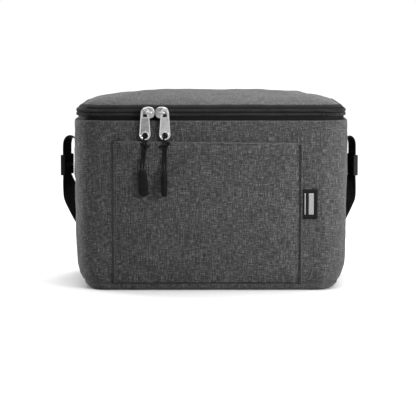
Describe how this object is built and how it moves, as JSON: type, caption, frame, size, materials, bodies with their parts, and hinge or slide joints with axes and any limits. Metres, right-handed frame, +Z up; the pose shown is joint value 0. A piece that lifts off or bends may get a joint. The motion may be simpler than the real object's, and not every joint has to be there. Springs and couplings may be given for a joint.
{
  "type": "insulated cooler bag",
  "caption": "Padded fabric cooler bag with a domed lid that opens on a two-slider zip, a patch pocket on the front and a webbing shoulder strap.",
  "frame": {"origin": "middle of the base, on the ground that the bag stands on", "axes": "+X to the bag's right as seen from the front, -Y out of the front with the pocket, +Z up"},
  "size_m": [0.3075, 0.245, 0.199],
  "materials": {
    "heather_fabric": "two-tone grey heather canvas, matt",
    "foam": "white closed-cell foam",
    "foil": "silver reflective lining, satin",
    "black_tape": "black woven tape, matt",
    "black_label": "black woven label with a plain pale motif",
    "black_coil": "black nylon coil",
    "plated_zinc": "nickel-plated zinc, polished with fine scratches",
    "black_cord": "black braided cord",
    "black_plastic": "black moulded plastic, satin",
    "black_webbing": "black polypropylene webbing, ribbed"
  },
  "bodies": {
    "bag": {"outer_wall": "heather_fabric", "wall_foam": "foam", "inner_liner": "foil", "bottom_panel": "heather_fabric", "bottom_foam": "foam", "rim_binding": "black_tape", "front_pocket": "heather_fabric", "pocket_label": "black_label", "zip_tape_lower": "black_tape", "zip_coil_lower": "black_coil", "hinge_strip": "black_tape", "shoulder_strap": "black_webbing", "strap_anchor_left": "black_webbing", "strap_anchor_right": "black_webbing"},
    "lid": {"lid_top": "heather_fabric", "lid_foam": "foam", "lid_liner": "foil", "lid_binding": "black_tape", "zip_tape_upper": "black_tape", "zip_coil_upper": "black_coil"},
    "slider_left": {"zip_slider_left": "plated_zinc"},
    "tab_left": {"puller_left": "plated_zinc"},
    "pull_left": {"pull_cord_left": "black_cord", "pull_grip_left": "black_plastic"},
    "slider_right": {"zip_slider_right": "plated_zinc"},
    "tab_right": {"puller_right": "plated_zinc"},
    "pull_right": {"pull_cord_right": "black_cord", "pull_grip_right": "black_plastic"},
    "slide_left": {"strap_slide_left": "black_plastic"},
    "slide_right": {"strap_slide_right": "black_plastic"}
  },
  "joints": [
    {"name": "lid_hinge", "type": "hinge", "parent": "bag", "child": "lid", "pos_m": [0, 0.0853, 0.18675], "axis": [-1, 0, 0], "range_deg": [0, 180]},
    {"name": "slider_left_travel", "type": "slide", "parent": "bag", "child": "slider_left", "axis": [-1, 0, 0], "range_m": [0, 0.035]},
    {"name": "slider_right_travel", "type": "slide", "parent": "bag", "child": "slider_right", "axis": [1, 0, 0], "range_m": [0, 0.147]},
    {"name": "tab_left_swing", "type": "hinge", "parent": "slider_left", "child": "tab_left", "pos_m": [-0.0657, -0.0887, 0.17895], "axis": [0, 1, 0], "range_deg": [-3, 90]},
    {"name": "tab_right_swing", "type": "hinge", "parent": "slider_right", "child": "tab_right", "pos_m": [-0.0459, -0.0887, 0.17895], "axis": [0, -1, 0], "range_deg": [-3, 90]},
    {"name": "pull_left_lift", "type": "hinge", "parent": "tab_left", "child": "pull_left", "pos_m": [-0.0657, -0.0887, 0.1526], "axis": [-1, 0, 0], "range_deg": [0, 90]},
    {"name": "pull_right_lift", "type": "hinge", "parent": "tab_right", "child": "pull_right", "pos_m": [-0.0459, -0.0887, 0.1526], "axis": [-1, 0, 0], "range_deg": [0, 90]},
    {"name": "strap_slide_left_travel", "type": "slide", "parent": "bag", "child": "slide_left", "axis": [0, 0, 1], "range_m": [0, 0.008]},
    {"name": "strap_slide_right_travel", "type": "slide", "parent": "bag", "child": "slide_right", "axis": [0, 0, 1], "range_m": [0, 0.008]}
  ]
}
